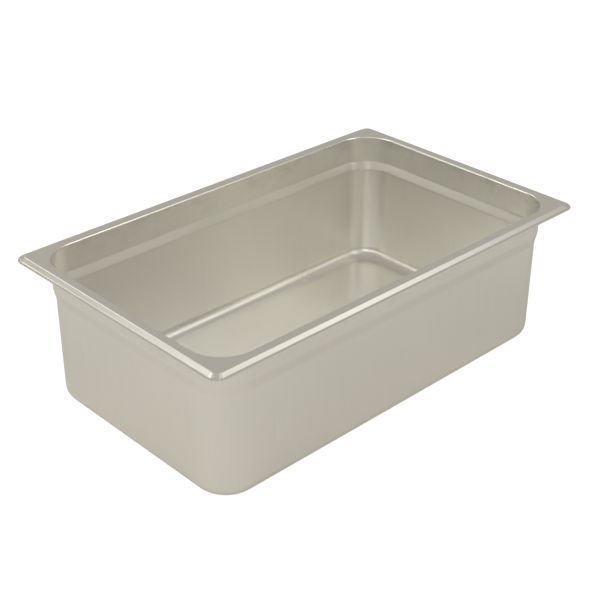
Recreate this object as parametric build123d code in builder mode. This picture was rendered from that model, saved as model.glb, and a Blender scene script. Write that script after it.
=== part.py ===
from build123d import *
from math import atan2, degrees
import os

# Full-size food pan, deep drawn in one piece from a single sheet of stainless steel.
# The origin is the centre of the base, with +X along the long side and +Z up.

# Driving dimensions, in millimetres and degrees
length = 530.0                 # over the lip, along X
width = 325.0                  # over the lip, along Y
height = 167.0                 # underside of the base to the rim flat
sheet = 0.8                    # thickness of the sheet

lip_corner_radius = 14.0       # corners of the lip, seen from above
lip_ledge = 2.9                # level part of the lip, outside the bevel
lip_drop = 3.6                 # the lip lies this far under the rim flat
bevel_run = 4.1                # the bevel goes this far in while it rises by lip_drop
lip_bend_radius = 1.0          # top surface, where the lip turns up into the bevel
bevel_bend_radius = 1.3        # top surface, where the bevel turns into the rim flat

opening_inset = 17.2           # edge of the lip to the inside face of the upper band
opening_corner_radius = 40.0   # inside corners of the upper band, seen from above
opening_bend_radius = 2.0      # top surface, where the rim flat turns down into the pan
band_depth = 32.5              # rim flat to the top of the shoulder
shoulder_depth = 11.5          # height of the shoulder
shoulder_step = 2.5            # the shoulder goes this far in, so that stacked pans come apart
shoulder_bend_radius = 10.0    # the shoulder's two soft bends
wall_draft = 0.3               # slope of the walls under the shoulder
base_bend_radius = 14.0        # inside bend between the walls and the base

# Levels and slopes that follow from them
rim_top = height
lip_top = rim_top - lip_drop
shoulder_top = rim_top - band_depth
shoulder_base = shoulder_top - shoulder_depth
floor_top = sheet
bevel_slope = degrees(atan2(bevel_run, lip_drop))
shoulder_slope = degrees(atan2(shoulder_step, shoulder_depth))
head_room = 10.0               # height of the form over the rim flat, which leaves no mark


def rim_outline(inset):
    """Outline of the rim, an inset in from the edge of the lip."""
    RectangleRounded(length - 2 * inset, width - 2 * inset, lip_corner_radius - inset)


def well_outline(step):
    """Inside outline of the well, a step in from the face of its upper band."""
    inset = opening_inset + step
    RectangleRounded(length - 2 * inset, width - 2 * inset, opening_corner_radius - step)


def edges_at(part, level):
    """The edges of a part that lie level at one height."""
    return part.edges().filter_by_position(Axis.Z, level - 0.01, level + 0.01)


def inner_edges(face):
    """The edges round the hole in a face."""
    return face.inner_wires()[0].edges()


# The space over the sheet is built first, as a solid form: this gives every surface that is
# seen from above. The sheet is then wrapped round it, and the form's own top and sides are open.
with BuildPart() as pan_body:
    # Over the lip, the bevel and the rim flat
    with BuildSketch(Plane.XY.offset(lip_top)):
        rim_outline(0)
    extrude(amount=lip_drop + head_room)
    with BuildSketch(Plane.XY.offset(lip_top)):
        rim_outline(lip_ledge)
    extrude(amount=lip_drop, taper=bevel_slope, mode=Mode.SUBTRACT)
    fillet(edges_at(pan_body, rim_top), bevel_bend_radius)
    ledge = pan_body.faces().sort_by(Axis.Z)[0]
    fillet(inner_edges(ledge), lip_bend_radius)

    # Inside the well: upper band, shoulder and drafted walls
    with BuildSketch(Plane.XY.offset(rim_top)):
        well_outline(0)
    extrude(amount=-band_depth)
    with BuildSketch(Plane.XY.offset(shoulder_top)):
        well_outline(0)
    extrude(amount=-shoulder_depth, taper=shoulder_slope)
    with BuildSketch(Plane.XY.offset(shoulder_base)):
        well_outline(shoulder_step)
    extrude(amount=floor_top - shoulder_base, taper=wall_draft)

    rim_flat = pan_body.faces().filter_by_position(Axis.Z, rim_top - 0.01, rim_top + 0.01)[0]
    fillet(inner_edges(rim_flat), opening_bend_radius)
    fillet(edges_at(pan_body, shoulder_top), shoulder_bend_radius)
    fillet(edges_at(pan_body, shoulder_base), shoulder_bend_radius)
    fillet(edges_at(pan_body, floor_top), base_bend_radius)

    # The sheet itself
    form_top = pan_body.faces().sort_by(Axis.Z)[-1]
    side_middle = (lip_top + rim_top + head_room) / 2
    form_sides = pan_body.faces().filter_by_position(Axis.Z, side_middle - 0.01, side_middle + 0.01)
    offset(amount=sheet, openings=[form_top, *form_sides])

pan_body.part.label = "pan_body"
os.makedirs("parts", exist_ok=True)
export_step(pan_body.part, "parts/pan_body.step")
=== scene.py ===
from math import atan2, cos, exp, hypot, pi, radians, sin, tan

import bmesh
import bpy
from bpy.props import FloatProperty, FloatVectorProperty, PointerProperty
from mathutils import Matrix, Vector, noise


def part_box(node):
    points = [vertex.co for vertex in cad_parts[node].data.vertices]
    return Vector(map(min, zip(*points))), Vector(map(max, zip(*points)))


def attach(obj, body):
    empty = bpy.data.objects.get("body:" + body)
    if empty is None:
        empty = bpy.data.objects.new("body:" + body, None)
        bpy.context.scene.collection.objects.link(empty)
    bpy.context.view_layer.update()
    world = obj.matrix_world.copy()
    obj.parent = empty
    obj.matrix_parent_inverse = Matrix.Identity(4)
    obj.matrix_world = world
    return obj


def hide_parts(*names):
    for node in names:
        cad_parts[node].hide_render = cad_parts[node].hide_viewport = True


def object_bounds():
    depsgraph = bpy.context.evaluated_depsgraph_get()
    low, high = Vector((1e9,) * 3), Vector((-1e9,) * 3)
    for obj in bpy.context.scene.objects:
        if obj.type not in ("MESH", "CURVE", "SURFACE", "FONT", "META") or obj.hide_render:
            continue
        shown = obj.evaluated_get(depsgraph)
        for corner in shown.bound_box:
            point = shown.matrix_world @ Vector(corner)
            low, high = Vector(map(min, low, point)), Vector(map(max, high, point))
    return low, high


bl_info = {
    "name": "Deli food pan",
    "version": (1, 0, 0),
    "blender": (4, 5, 0),
    "location": "View3D > Sidebar > Food Pan",
    "description": "Makes a full-size deep drawn stainless steel food pan in a plain studio",
    "category": "Object",
}

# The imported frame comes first, because the default sizes are its sizes
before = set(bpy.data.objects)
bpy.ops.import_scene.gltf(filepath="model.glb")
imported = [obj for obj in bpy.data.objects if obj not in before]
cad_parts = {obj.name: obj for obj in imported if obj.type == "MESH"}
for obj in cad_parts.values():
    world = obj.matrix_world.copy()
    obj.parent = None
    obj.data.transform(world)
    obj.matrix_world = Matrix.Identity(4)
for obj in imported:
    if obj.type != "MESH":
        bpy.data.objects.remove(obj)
CAD_LOW, CAD_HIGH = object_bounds()
NODE_LOW, NODE_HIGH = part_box("pan_body")
MM = 0.001

# Faces round each corner of the pan, and round each kind of bend
CORNER_STEPS = 32
RIM_STEPS = 5
OPENING_STEPS = 8
SHOULDER_STEPS = 4
BASE_STEPS = 14

# How finely the flat parts are cut, so that they can carry slight waves
LONG_CUTS = 30
SHORT_CUTS = 16
WALL_CUTS = 8
BAND_CUTS = 3
CUT_GAP = 3.0 * MM            # from the cuts to the nearest bend

# Small creases that the press leaves across the lip at its corners
CREASE_PITCH = 3.6 * MM
CREASE_SPREAD = 3.4 * MM
CREASE_DEPTH = 0.34 * MM
CREASE_SINK = 0.6             # share of the depth that keeps the creases under the rim
CREASE_PLACE = 3.4 * MM       # round the lip, from the middle of its corner

# One nick in the edge of an end lip
NICK_PLACE = -118.0 * MM
NICK_SPREAD = 1.6 * MM
NICK_REACH = 5.0 * MM
NICK_CUTS = 7
NICK_DROP = 0.45 * MM
NICK_DENT = 0.25 * MM

# The slight unevenness of a drawn sheet
WAVE_DEPTH = 0.16 * MM
WAVE_FADE = 25.0 * MM
WAVE_SCALES = (16.0, 37.0)    # waves to a metre, long and short
CROWN_HEIGHT = 0.30 * MM
CROWN_START = 34.0 * MM       # from the edge of the lip, in plan
CROWN_FADE = 40.0 * MM
BEND_ANGLE = radians(5)       # a fold sharper than this belongs to a bend

# The cut edge of the sheet
EDGE_ROUND = 0.15 * MM
EDGE_STEPS = 2
EDGE_ANGLE = radians(70)

# The finish of the steel. Each noise has its scale in waves to a metre, its detail and its roughness,
# and each range is the part of the noise, or of the normal, that fades from one end to the other
GRAIN_NOISE = ((2400.0, 2400.0, 2400.0), 2.0, 0.6)
GRAIN_STRENGTH = 0.15
GRAIN_HEIGHT = 0.01 * MM
BLOTCH_NOISE = ((9.0, 9.0, 14.0), 4.0, 0.5)
BLOTCH_RANGE = (0.35, 0.68)
BLOTCH_ROUGHNESS = 0.02
STREAK_NOISE = ((420.0, 420.0, 9.0), 3.0, 0.55)
STREAK_RANGE = (0.52, 0.75)
STREAK_ROUGHNESS = 0.03
STREAK_SHADE = 0.08
RUB_NOISE = ((34.0, 34.0, 55.0), 5.0, 0.62)
RUB_RANGE = (0.48, 0.68)
RUB_ROUGHNESS = 0.08
RUB_SHADE = 0.5
RUB_TOP = 0.2                 # share of the upper band that lies over the full rubbing
UPRIGHT_RANGE = (0.1, 0.5)
DARK_SHARE = 0.72             # colour of the darkest marks, as a share of the bare steel's

# The studio
FLOOR_RADIUS = 9.0
FLOOR_GREY = (0.8, 0.79, 0.77, 1.0)
FLOOR_GLOW = 0.8              # plain white that the camera sees, before the lights add to it
FLOOR_SHADE = (0.5, 0.5, 0.5, 1.0)
WHITE = (1.0, 1.0, 1.0, 1.0)
ROOM_COLOUR = (1.0, 0.965, 0.885, 1.0)
ROOM_STRENGTH = 0.45
LIGHT_COLOUR = (0.995, 0.985, 0.915)
LIGHT_DISTANCE = 1.9
LIGHT_AIM = (0.0, 0.0, 0.1)
SENSOR_WIDTH = 36.0

# Name, azimuth from +X and elevation in degrees, size in metres, power in watts
SOFT_BOXES = (
    ("back_light", 100.0, 40.0, 0.85, 2.7),
    ("left_light", 154.0, 24.0, 0.85, 7.8),
    ("fill_left", 190.0, 24.0, 0.85, 2.2),
    ("fill_middle", 226.0, 24.0, 0.85, 2.7),
    ("high_front_light", 280.0, 40.0, 0.85, 1.8),
    ("right_light", 291.0, 17.0, 0.85, 5.6),
    ("high_right_light", 316.0, 40.0, 0.60, 1.0),
)


def size(name, description, value):
    """A length that the panel shows in the scene's own unit."""
    return FloatProperty(name=name, description=description, default=value, subtype="DISTANCE")


class PanSizes(bpy.types.PropertyGroup):
    """Sizes of the drawn pan"""

    length: size("Length", "Over the lip, along X", NODE_HIGH[0] - NODE_LOW[0])
    width: size("Width", "Over the lip, along Y", NODE_HIGH[1] - NODE_LOW[1])
    height: size("Height", "Underside of the base to the rim flat", NODE_HIGH[2] - NODE_LOW[2])
    sheet: size("Sheet", "Thickness of the sheet", 0.8 * MM)
    lip_corner: size("Lip corner radius", "Corners of the lip, seen from above", 14.0 * MM)
    lip_ledge: size("Lip ledge", "Level part of the lip, outside the bevel", 2.9 * MM)
    lip_drop: size("Lip drop", "How far the lip lies under the rim flat", 3.6 * MM)
    lip_bend: size("Lip bend radius", "Where the lip turns up into the bevel", 1.0 * MM)
    bevel_run: size("Bevel run", "How far in the bevel goes while it rises", 4.1 * MM)
    bevel_bend: size("Bevel bend radius", "Where the bevel turns into the rim flat", 1.3 * MM)
    opening_inset: size("Opening inset", "Edge of the lip to the upper band's face", 17.2 * MM)
    opening_corner: size("Opening corner radius", "Inside corners of the upper band", 40.0 * MM)
    opening_bend: size("Opening bend radius", "Where the rim flat turns down", 2.0 * MM)
    band_depth: size("Band depth", "Rim flat to the top of the shoulder", 32.5 * MM)
    shoulder_depth: size("Shoulder depth", "Height of the shoulder", 11.5 * MM)
    shoulder_step: size("Shoulder step", "How far in the shoulder goes", 2.5 * MM)
    shoulder_bend: size("Shoulder bend radius", "The shoulder's two soft bends", 10.0 * MM)
    base_bend: size("Base bend radius", "Inside bend from the walls to the base", 14.0 * MM)
    wall_draft: FloatProperty(
        name="Wall draft", description="Slope of the walls under the shoulder",
        default=radians(0.3), subtype="ANGLE",
    )


class SteelFinish(bpy.types.PropertyGroup):
    """Colour and finish of the stainless sheet"""

    colour: FloatVectorProperty(
        name="Colour", description="Colour of the bare steel", subtype="COLOR",
        size=3, min=0.0, max=1.0, default=(0.86, 0.85, 0.81),
    )
    roughness: FloatProperty(
        name="Roughness", description="Roughness of the flat sheet", subtype="FACTOR",
        min=0.0, max=1.0, default=0.35,
    )
    burnished: FloatProperty(
        name="Burnished roughness", description="Roughness where the sheet was drawn over a die",
        subtype="FACTOR", min=0.0, max=1.0, default=0.29,
    )


class StudioSettings(bpy.types.PropertyGroup):
    """Camera and light"""

    azimuth: FloatProperty(
        name="Azimuth", description="Direction of the camera round the pan",
        default=radians(-43.47), subtype="ANGLE",
    )
    elevation: FloatProperty(
        name="Elevation", description="Height of the camera over the horizon",
        default=radians(29.39), subtype="ANGLE",
    )
    roll: FloatProperty(
        name="Roll", description="Turn of the camera round its line of sight",
        default=radians(0.1), subtype="ANGLE",
    )
    distance: size("Distance", "Camera to the point that it looks at", 1.42282)
    target: FloatVectorProperty(
        name="Target", description="The point that the camera looks at", subtype="XYZ",
        size=3, default=(0.00305, 0.01977, 0.075),
    )
    lens: FloatProperty(
        name="Lens", description="Focal length in millimetres, for a 36 mm sensor", default=77.11,
    )


# ---------------------------------------------------------------- the sheet

def first_ring(mesh, tag, pan, station):
    """A level rectangle with rounded corners, as a ring of edges marked 1 in the tag layer."""
    level, inset, corner = station
    corners = bmesh.ops.create_grid(mesh, x_segments=1, y_segments=1, size=1.0)["verts"]
    half = (pan.length / 2 - inset, pan.width / 2 - inset, 1.0)
    bmesh.ops.scale(mesh, vec=half, verts=corners)
    bmesh.ops.translate(mesh, vec=(0.0, 0.0, level), verts=corners)
    bmesh.ops.bevel(
        mesh, geom=corners, offset=corner, offset_type="OFFSET", segments=CORNER_STEPS,
        profile=0.5, affect="VERTICES", material=-1, clamp_overlap=False,
    )
    for vert in mesh.verts:
        vert[tag] = 1
    bmesh.ops.delete(mesh, geom=mesh.faces[:], context="FACES_ONLY")


def edges_of_ring(mesh, tag, number):
    return [e for e in mesh.edges if e.verts[0][tag] == number and e.verts[1][tag] == number]


def next_ring(mesh, tag, pan, number, station, last_station):
    """Draws the sheet on from its last ring to the next one, corner by corner."""
    level, inset, corner = station
    last_level, last_inset, last_corner = last_station
    made = bmesh.ops.extrude_edge_only(mesh, edges=edges_of_ring(mesh, tag, number - 1))["geom"]
    ring = [item for item in made if isinstance(item, bmesh.types.BMVert)]
    share = corner / last_corner
    for vert in ring:
        vert[tag] = number
    for side_x in (-1, 1):
        for side_y in (-1, 1):
            verts = [v for v in ring if v.co.x * side_x > 0 and v.co.y * side_y > 0]
            old = Vector((
                side_x * (pan.length / 2 - last_inset - last_corner),
                side_y * (pan.width / 2 - last_inset - last_corner), last_level,
            ))
            new = Vector((
                side_x * (pan.length / 2 - inset - corner),
                side_y * (pan.width / 2 - inset - corner), level,
            ))
            about = Matrix.Translation(-old)
            bmesh.ops.scale(mesh, vec=(share, share, 1.0), space=about, verts=verts)
            bmesh.ops.translate(mesh, vec=new - old, verts=verts)


def bend_ring(mesh, tag, number, radius, turn, steps):
    """Rounds one ring of the sheet to a bend of that radius, where it turns by that angle."""
    edges = edges_of_ring(mesh, tag, number)
    bmesh.ops.bevel(
        mesh, geom=edges, offset=radius * tan(turn / 2), offset_type="OFFSET", segments=steps,
        profile=0.5, affect="EDGES", material=-1, clamp_overlap=False, loop_slide=False,
    )


def cut_across(mesh, axis, places, reach=1.0):
    """Cuts each face that lies on the -X side of a limit, where each place crosses the axis."""
    normal = Vector((0.0, 0.0, 0.0))
    normal[axis] = 1.0
    for place in places:
        faces = [face for face in mesh.faces if face.calc_center_median().x < reach]
        chosen = set(faces)
        edges = [edge for edge in mesh.edges if chosen.intersection(edge.link_faces)]
        verts = [vert for vert in mesh.verts if chosen.intersection(vert.link_faces)]
        bmesh.ops.bisect_plane(
            mesh, geom=verts + edges + faces, dist=1e-7, plane_co=normal * place, plane_no=normal
        )


def evenly(low, high, parts):
    return [low + (high - low) * i / parts for i in range(parts + 1)]


def sheet_profile(pan):
    """Level, inset and corner radius of each ring of the sheet's upper face, from the lip to the base."""
    top = pan.height
    lip = top - pan.lip_drop
    flat_inset = pan.lip_ledge + pan.bevel_run
    shoulder_top = top - pan.band_depth
    shoulder_base = shoulder_top - pan.shoulder_depth
    lean = (shoulder_base - pan.sheet) * tan(pan.wall_draft)
    wall_inset = pan.opening_inset + pan.shoulder_step
    return [
        (lip, 0.0, pan.lip_corner),
        (lip, pan.lip_ledge, pan.lip_corner - pan.lip_ledge),
        (top, flat_inset, pan.lip_corner - flat_inset),
        (top, pan.opening_inset, pan.opening_corner),
        (shoulder_top, pan.opening_inset, pan.opening_corner),
        (shoulder_base, wall_inset, pan.opening_corner - pan.shoulder_step),
        (pan.sheet, wall_inset + lean, pan.opening_corner - pan.shoulder_step - lean),
    ]


def cut_flat_parts(mesh, pan, profile):
    """Cuts the flat parts of the sheet into faces of a few centimetres, and finer where the nick goes."""
    corner = pan.opening_inset + pan.opening_corner + CUT_GAP
    along, across = pan.length / 2 - corner, pan.width / 2 - corner
    cut_across(mesh, 0, evenly(-along, along, LONG_CUTS))
    cut_across(mesh, 1, evenly(-across, across, SHORT_CUTS))
    lip_zone = pan.lip_ledge + pan.bevel_run - pan.length / 2
    cut_across(mesh, 1, evenly(NICK_PLACE - NICK_REACH, NICK_PLACE + NICK_REACH, NICK_CUTS), lip_zone)
    shoulder_top, shoulder_base = profile[4][0], profile[5][0]
    cut_across(mesh, 2, evenly(pan.sheet + pan.base_bend, shoulder_base - CUT_GAP, WALL_CUTS)[1:])
    cut_across(mesh, 2, evenly(shoulder_top + CUT_GAP, pan.height - pan.opening_bend, BAND_CUTS)[:-1])


def make_sheet(pan):
    """The upper face of the drawn sheet, as a bmesh."""
    mesh = bmesh.new()
    tag = mesh.verts.layers.int.new("ring")
    profile = sheet_profile(pan)
    first_ring(mesh, tag, pan, profile[0])
    for number in range(1, len(profile)):
        next_ring(mesh, tag, pan, number + 1, profile[number], profile[number - 1])
    bmesh.ops.contextual_create(mesh, geom=edges_of_ring(mesh, tag, len(profile)))
    bmesh.ops.recalc_face_normals(mesh, faces=mesh.faces)
    bevel_turn = atan2(pan.lip_drop, pan.bevel_run)
    shoulder_turn = atan2(pan.shoulder_step, pan.shoulder_depth)
    bend_ring(mesh, tag, 2, pan.lip_bend, bevel_turn, RIM_STEPS)
    bend_ring(mesh, tag, 3, pan.bevel_bend, bevel_turn, RIM_STEPS)
    bend_ring(mesh, tag, 4, pan.opening_bend, pi / 2, OPENING_STEPS)
    bend_ring(mesh, tag, 5, pan.shoulder_bend, shoulder_turn, SHOULDER_STEPS)
    bend_ring(mesh, tag, 6, pan.shoulder_bend, shoulder_turn - pan.wall_draft, SHOULDER_STEPS)
    bend_ring(mesh, tag, 7, pan.base_bend, pi / 2 - pan.wall_draft, BASE_STEPS)
    cut_flat_parts(mesh, pan, profile)
    bmesh.ops.recalc_face_normals(mesh, faces=mesh.faces)
    largest = max(mesh.faces, key=lambda face: face.calc_area())
    if largest.normal.z < 0:
        bmesh.ops.reverse_faces(mesh, faces=mesh.faces)
    mark_burnished(mesh)
    crease_corners(mesh, pan)
    nick_lip(mesh, pan)
    slight_waves(mesh, pan)
    return mesh


def mark_burnished(mesh):
    """Marks the bends, which the die rubs smoother than the flat sheet."""
    burnished = mesh.verts.layers.float.new("burnished")
    for vert in mesh.verts:
        sharpest = max(edge.calc_face_angle(0.0) for edge in vert.link_edges)
        vert[burnished] = 1.0 if sharpest > BEND_ANGLE else 0.0


def crease_corners(mesh, pan):
    """Small creases across the lip at each of its corners."""
    centre = (pan.length / 2 - pan.lip_corner, pan.width / 2 - pan.lip_corner)
    flat_radius = pan.lip_corner - pan.lip_ledge - pan.bevel_run
    lowest = pan.height - 2 * pan.lip_drop
    for vert in mesh.verts:
        across, along = abs(vert.co.x) - centre[0], abs(vert.co.y) - centre[1]
        radius = hypot(across, along)
        if min(across, along) <= 0 or radius <= flat_radius or vert.co.z <= lowest:
            continue
        arc = (atan2(along, across) - pi / 4) * pan.lip_corner
        if vert.co.x * vert.co.y < 0:
            arc = -arc
        depth = CREASE_DEPTH * min(1.0, (radius - flat_radius) / pan.bevel_run)
        spread = exp(-(((arc - CREASE_PLACE) / CREASE_SPREAD) ** 2))
        crease = cos(arc / CREASE_PITCH * 2 * pi) * spread
        vert.co.z += depth * (crease - CREASE_SINK)
        vert.co.x -= depth * abs(crease) * cos(atan2(vert.co.y, vert.co.x))


def nick_lip(mesh, pan):
    """One nick in the edge of the lip at the -X end."""
    for vert in mesh.verts:
        out = (-vert.co.x - (pan.length / 2 - pan.lip_ledge)) / pan.lip_ledge
        if out > 0:
            nick = out * exp(-(((vert.co.y - NICK_PLACE) / NICK_SPREAD) ** 2))
            vert.co.z -= NICK_DROP * nick
            vert.co.x += NICK_DENT * nick


def fade_in(value, start, over):
    """0 up to a start, and then evenly up to 1."""
    return min(1.0, max(0.0, (value - start) / over))


def slight_waves(mesh, pan):
    """Slight waves in the walls and a slight crown in the base, never out over the pan's own sizes."""
    long_waves, short_waves = WAVE_SCALES
    base_bend_top = pan.sheet + pan.base_bend
    under_lip = pan.height - pan.lip_drop - MM
    for vert in mesh.verts:
        wave = noise.noise(vert.co * long_waves) + 0.5 * noise.noise(vert.co * short_waves)
        if vert.co.z < pan.sheet + 0.1 * MM:
            inset = min(pan.length / 2 - abs(vert.co.x), pan.width / 2 - abs(vert.co.y))
            vert.co.z += CROWN_HEIGHT * fade_in(inset, CROWN_START, CROWN_FADE) * (1.0 + 0.5 * wave)
        else:
            over_bend = fade_in(vert.co.z, base_bend_top, WAVE_FADE)
            depth = WAVE_DEPTH * wave * over_bend * fade_in(under_lip - vert.co.z, 0.0, WAVE_FADE)
            vert.co.x += depth if vert.co.x < 0 else -depth
            vert.co.y += depth if vert.co.y < 0 else -depth


def add_piece(name, mesh):
    """Puts a bmesh in the scene as a piece of the pan."""
    data = bpy.data.meshes.new(name)
    mesh.to_mesh(data)
    mesh.free()
    data.shade_smooth()
    piece = bpy.data.objects.new(name, data)
    bpy.context.scene.collection.objects.link(piece)
    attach(piece, "root")
    return piece


# ---------------------------------------------------------------- materials

def new_material(name):
    material = bpy.data.materials.new(name)
    material.use_nodes = True
    tree = material.node_tree
    tree.nodes.clear()
    output = tree.nodes.new("ShaderNodeOutputMaterial")
    return material, tree, output


def new_group(name, inputs, outputs):
    """An empty shader node group with those number inputs and outputs."""
    group = bpy.data.node_groups.new(name, "ShaderNodeTree")
    for label, value in inputs:
        socket = group.interface.new_socket(label, in_out="INPUT", socket_type="NodeSocketFloat")
        socket.default_value = value
    for label in outputs:
        group.interface.new_socket(label, in_out="OUTPUT", socket_type="NodeSocketFloat")
    start, end = group.nodes.new("NodeGroupInput"), group.nodes.new("NodeGroupOutput")
    return group, start, end


def stretched_noise(tree, scale, detail, roughness):
    """Noise on the piece's own coordinates, stretched by one scale for each axis."""
    place = tree.nodes.new("ShaderNodeTexCoord")
    stretch = tree.nodes.new("ShaderNodeMapping")
    stretch.inputs["Scale"].default_value = scale
    grain = tree.nodes.new("ShaderNodeTexNoise")
    grain.inputs["Scale"].default_value = 1.0
    grain.inputs["Detail"].default_value = detail
    grain.inputs["Roughness"].default_value = roughness
    tree.links.new(place.outputs["Object"], stretch.inputs["Vector"])
    tree.links.new(stretch.outputs["Vector"], grain.inputs["Vector"])
    return grain.outputs["Fac"]


def calculate(tree, kind, first, second, clamp=False):
    """A Math node on two sockets or numbers."""
    node = tree.nodes.new("ShaderNodeMath")
    node.operation = kind
    node.use_clamp = clamp
    for socket, value in zip(node.inputs, (first, second)):
        if isinstance(value, (int, float)):
            socket.default_value = value
        else:
            tree.links.new(value, socket)
    return node.outputs[0]


def ramp(tree, value, low, high, to_low=0.0, to_high=1.0):
    """Maps a value between two ends, and holds it there outside them."""
    node = tree.nodes.new("ShaderNodeMapRange")
    node.clamp = True
    for label, number in (
        ("From Min", low), ("From Max", high), ("To Min", to_low), ("To Max", to_high),
    ):
        if isinstance(number, (int, float)):
            node.inputs[label].default_value = number
        else:
            tree.links.new(number, node.inputs[label])
    tree.links.new(value, node.inputs["Value"])
    return node.outputs["Result"]


def matt_grain_group():
    """Fine matt grain of cold rolled sheet: a height, and soft blotches of more or less polish."""
    group, start, end = new_group("matt_grain", [("Grain Depth", 1.0)], ["Height", "Blotches"])
    fine = stretched_noise(group, *GRAIN_NOISE)
    height = calculate(group, "MULTIPLY", fine, start.outputs["Grain Depth"])
    blotches = ramp(group, stretched_noise(group, *BLOTCH_NOISE), *BLOTCH_RANGE)
    group.links.new(height, end.inputs["Height"])
    group.links.new(blotches, end.inputs["Blotches"])
    return group


def draw_marks_group():
    """Faint upright streaks that the die leaves on the walls, and dull rubbed patches under the rim."""
    group, start, end = new_group(
        "draw_marks", [("Band Bottom", 0.13), ("Band Top", 0.165)], ["Streaks", "Rubbed"]
    )
    streaks = ramp(group, stretched_noise(group, *STREAK_NOISE), *STREAK_RANGE)
    way = group.nodes.new("ShaderNodeNewGeometry")
    part = group.nodes.new("ShaderNodeSeparateXYZ")
    group.links.new(way.outputs["Normal"], part.inputs["Vector"])
    level_share = calculate(group, "ABSOLUTE", part.outputs["Z"], 0.0)
    upright = ramp(group, level_share, *UPRIGHT_RANGE, 1.0, 0.0)
    place = group.nodes.new("ShaderNodeTexCoord")
    level = group.nodes.new("ShaderNodeSeparateXYZ")
    group.links.new(place.outputs["Object"], level.inputs["Vector"])
    band = ramp(
        group, level.outputs["Z"], start.outputs["Band Bottom"], start.outputs["Band Top"]
    )
    patches = ramp(group, stretched_noise(group, *RUB_NOISE), *RUB_RANGE)
    rubbed = calculate(group, "MULTIPLY", calculate(group, "MULTIPLY", patches, band), upright)
    group.links.new(calculate(group, "MULTIPLY", streaks, upright), end.inputs["Streaks"])
    group.links.new(rubbed, end.inputs["Rubbed"])
    return group


def group_node(tree, group, **values):
    node = tree.nodes.new("ShaderNodeGroup")
    node.node_tree = group
    for label, value in values.items():
        node.inputs[label.replace("_", " ")].default_value = value
    return node


def satin_steel(finish, pan):
    """Satin cold rolled stainless steel, smoother where the die burnished it."""
    material, tree, output = new_material("satin_stainless")
    grain = group_node(tree, matt_grain_group())
    marks = group_node(
        tree, draw_marks_group(),
        Band_Bottom=pan.height - pan.band_depth, Band_Top=pan.height - RUB_TOP * pan.band_depth,
    )
    die = tree.nodes.new("ShaderNodeAttribute")
    die.attribute_name = "burnished"
    rough = ramp(tree, die.outputs["Fac"], 0.0, 1.0, finish.roughness, finish.burnished)
    blotches = ramp(
        tree, grain.outputs["Blotches"], 0.0, 1.0, -BLOTCH_ROUGHNESS, BLOTCH_ROUGHNESS
    )
    rough = calculate(tree, "ADD", rough, blotches)
    rubbed, streaks = marks.outputs["Rubbed"], marks.outputs["Streaks"]
    rough = calculate(tree, "ADD", rough, calculate(tree, "MULTIPLY", rubbed, RUB_ROUGHNESS))
    rough = calculate(tree, "ADD", rough, calculate(tree, "MULTIPLY", streaks, STREAK_ROUGHNESS))
    shade = calculate(
        tree, "ADD", calculate(tree, "MULTIPLY", rubbed, RUB_SHADE),
        calculate(tree, "MULTIPLY", streaks, STREAK_SHADE), clamp=True,
    )
    colour = tree.nodes.new("ShaderNodeMix")
    colour.data_type = "RGBA"
    colour.inputs[6].default_value = (*finish.colour, 1.0)
    colour.inputs[7].default_value = (*[c * DARK_SHARE for c in finish.colour], 1.0)
    tree.links.new(shade, colour.inputs["Factor"])
    bump = tree.nodes.new("ShaderNodeBump")
    bump.inputs["Strength"].default_value = GRAIN_STRENGTH
    bump.inputs["Distance"].default_value = GRAIN_HEIGHT
    tree.links.new(grain.outputs["Height"], bump.inputs["Height"])
    steel = tree.nodes.new("ShaderNodeBsdfPrincipled")
    steel.inputs["Metallic"].default_value = 1.0
    tree.links.new(colour.outputs[2], steel.inputs["Base Color"])
    tree.links.new(rough, steel.inputs["Roughness"])
    tree.links.new(bump.outputs["Normal"], steel.inputs["Normal"])
    tree.links.new(steel.outputs["BSDF"], output.inputs["Surface"])
    return material


# ---------------------------------------------------------------- the studio

def white_to_camera(tree, output, other, white):
    """Shows plain white to the camera, and the other shader to the steel."""
    path = tree.nodes.new("ShaderNodeLightPath")
    mix = tree.nodes.new("ShaderNodeMixShader")
    tree.links.new(path.outputs["Is Camera Ray"], mix.inputs["Fac"])
    tree.links.new(other, mix.inputs[1])
    tree.links.new(white, mix.inputs[2])
    tree.links.new(mix.outputs["Shader"], output.inputs["Surface"])


def studio_floor():
    mesh = bmesh.new()
    bmesh.ops.create_circle(mesh, cap_ends=True, segments=96, radius=FLOOR_RADIUS)
    bmesh.ops.translate(mesh, vec=(0.0, 0.0, CAD_LOW[2]), verts=mesh.verts)
    data = bpy.data.meshes.new("studio_floor")
    mesh.to_mesh(data)
    mesh.free()
    floor = bpy.data.objects.new("studio_floor", data)
    bpy.context.scene.collection.objects.link(floor)
    material, tree, output = new_material("pale_floor")
    grey = tree.nodes.new("ShaderNodeBsdfDiffuse")
    grey.inputs["Color"].default_value = FLOOR_GREY
    white = tree.nodes.new("ShaderNodeEmission")
    white.inputs["Color"].default_value = WHITE
    white.inputs["Strength"].default_value = FLOOR_GLOW
    shade = tree.nodes.new("ShaderNodeBsdfDiffuse")
    shade.inputs["Color"].default_value = FLOOR_SHADE
    both = tree.nodes.new("ShaderNodeAddShader")
    tree.links.new(white.outputs["Emission"], both.inputs[0])
    tree.links.new(shade.outputs["BSDF"], both.inputs[1])
    white_to_camera(tree, output, grey.outputs["BSDF"], both.outputs["Shader"])
    data.materials.append(material)


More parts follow.
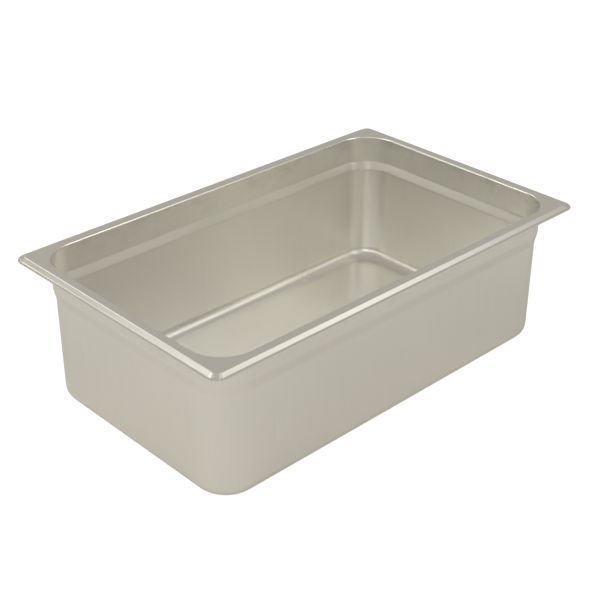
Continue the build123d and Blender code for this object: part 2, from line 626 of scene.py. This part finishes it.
def studio_world():
    world = bpy.data.worlds.new("studio_world")
    bpy.context.scene.world = world
    world.use_nodes = True
    tree = world.node_tree
    tree.nodes.clear()
    output = tree.nodes.new("ShaderNodeOutputWorld")
    room = tree.nodes.new("ShaderNodeBackground")
    room.inputs["Color"].default_value = ROOM_COLOUR
    room.inputs["Strength"].default_value = ROOM_STRENGTH
    white = tree.nodes.new("ShaderNodeBackground")
    white.inputs["Color"].default_value = WHITE
    white.inputs["Strength"].default_value = 1.0
    white_to_camera(tree, output, room.outputs["Background"], white.outputs["Background"])


def soft_box(name, place, aim, across, power):
    """A square soft light at a place, aimed at a point."""
    light = bpy.data.lights.new(name, "AREA")
    light.shape = "SQUARE"
    light.size = across
    light.energy = power
    light.color = LIGHT_COLOUR
    box = bpy.data.objects.new(name, light)
    way = Vector(aim) - Vector(place)
    box.matrix_world = Matrix.Translation(place) @ way.to_track_quat("-Z", "Y").to_matrix().to_4x4()
    bpy.context.scene.collection.objects.link(box)


def studio_camera(studio):
    data = bpy.data.cameras.new("camera")
    data.sensor_width = SENSOR_WIDTH
    data.lens = studio.lens
    data.clip_start, data.clip_end = 0.05, 60.0
    camera = bpy.data.objects.new("camera", data)
    bpy.context.scene.collection.objects.link(camera)
    turn, tilt = studio.azimuth, studio.elevation
    back = Vector((sin(turn) * cos(tilt), -cos(turn) * cos(tilt), sin(tilt)))
    place = Vector(studio.target) + back * studio.distance
    look = (-back).to_track_quat("-Z", "Y").to_matrix().to_4x4()
    camera.matrix_world = Matrix.Translation(place) @ look @ Matrix.Rotation(studio.roll, 4, "Z")
    bpy.context.scene.camera = camera


# ---------------------------------------------------------------- operators

class PAN_OT_body(bpy.types.Operator):
    """Make the drawn sheet of the pan"""

    bl_idname = "food_pan.body"
    bl_label = "Make the Pan"

    def execute(self, context):
        pan = context.scene.food_pan_sizes
        piece = add_piece("drawn_pan", make_sheet(pan))
        piece.data.materials.append(satin_steel(context.scene.food_pan_finish, pan))
        wall = piece.modifiers.new("sheet", "SOLIDIFY")
        wall.thickness = pan.sheet
        wall.offset = -1.0
        wall.use_even_offset = True
        wall.use_quality_normals = True
        edge = piece.modifiers.new("cut_edge", "BEVEL")
        edge.width = EDGE_ROUND
        edge.segments = EDGE_STEPS
        edge.limit_method = "ANGLE"
        edge.angle_limit = EDGE_ANGLE
        normals = piece.modifiers.new("flat_faces", "WEIGHTED_NORMAL")
        normals.keep_sharp = True
        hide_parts("pan_body")
        return {"FINISHED"}


class PAN_OT_studio(bpy.types.Operator):
    """Make the floor, the soft lights and the camera"""

    bl_idname = "food_pan.studio"
    bl_label = "Make the Studio"

    def execute(self, context):
        studio_floor()
        studio_world()
        for name, turn, tilt, across, power in SOFT_BOXES:
            turn, tilt = radians(turn), radians(tilt)
            way = Vector((cos(tilt) * cos(turn), cos(tilt) * sin(turn), sin(tilt)))
            soft_box(name, way * LIGHT_DISTANCE + Vector(LIGHT_AIM), LIGHT_AIM, across, power)
        studio_camera(context.scene.food_pan_studio)
        context.scene.view_settings.view_transform = "Standard"
        return {"FINISHED"}


class PAN_PT_sidebar(bpy.types.Panel):
    """Sizes, finish and studio of the food pan"""

    bl_idname = "PAN_PT_sidebar"
    bl_label = "Food Pan"
    bl_space_type = "VIEW_3D"
    bl_region_type = "UI"
    bl_category = "Food Pan"

    def draw(self, context):
        for settings in ("food_pan_sizes", "food_pan_finish", "food_pan_studio"):
            group = getattr(context.scene, settings)
            box = self.layout.box()
            for name in group.__annotations__:
                box.prop(group, name)
        self.layout.operator("food_pan.body")
        self.layout.operator("food_pan.studio")


CLASSES = (PanSizes, SteelFinish, StudioSettings, PAN_OT_body, PAN_OT_studio, PAN_PT_sidebar)


def register():
    for item in CLASSES:
        bpy.utils.register_class(item)
    bpy.types.Scene.food_pan_sizes = PointerProperty(type=PanSizes)
    bpy.types.Scene.food_pan_finish = PointerProperty(type=SteelFinish)
    bpy.types.Scene.food_pan_studio = PointerProperty(type=StudioSettings)


def unregister():
    del bpy.types.Scene.food_pan_studio
    del bpy.types.Scene.food_pan_finish
    del bpy.types.Scene.food_pan_sizes
    for item in reversed(CLASSES):
        bpy.utils.unregister_class(item)


def main():
    register()
    bpy.ops.food_pan.body()
    bpy.ops.food_pan.studio()


if __name__ == "__main__":
    main()
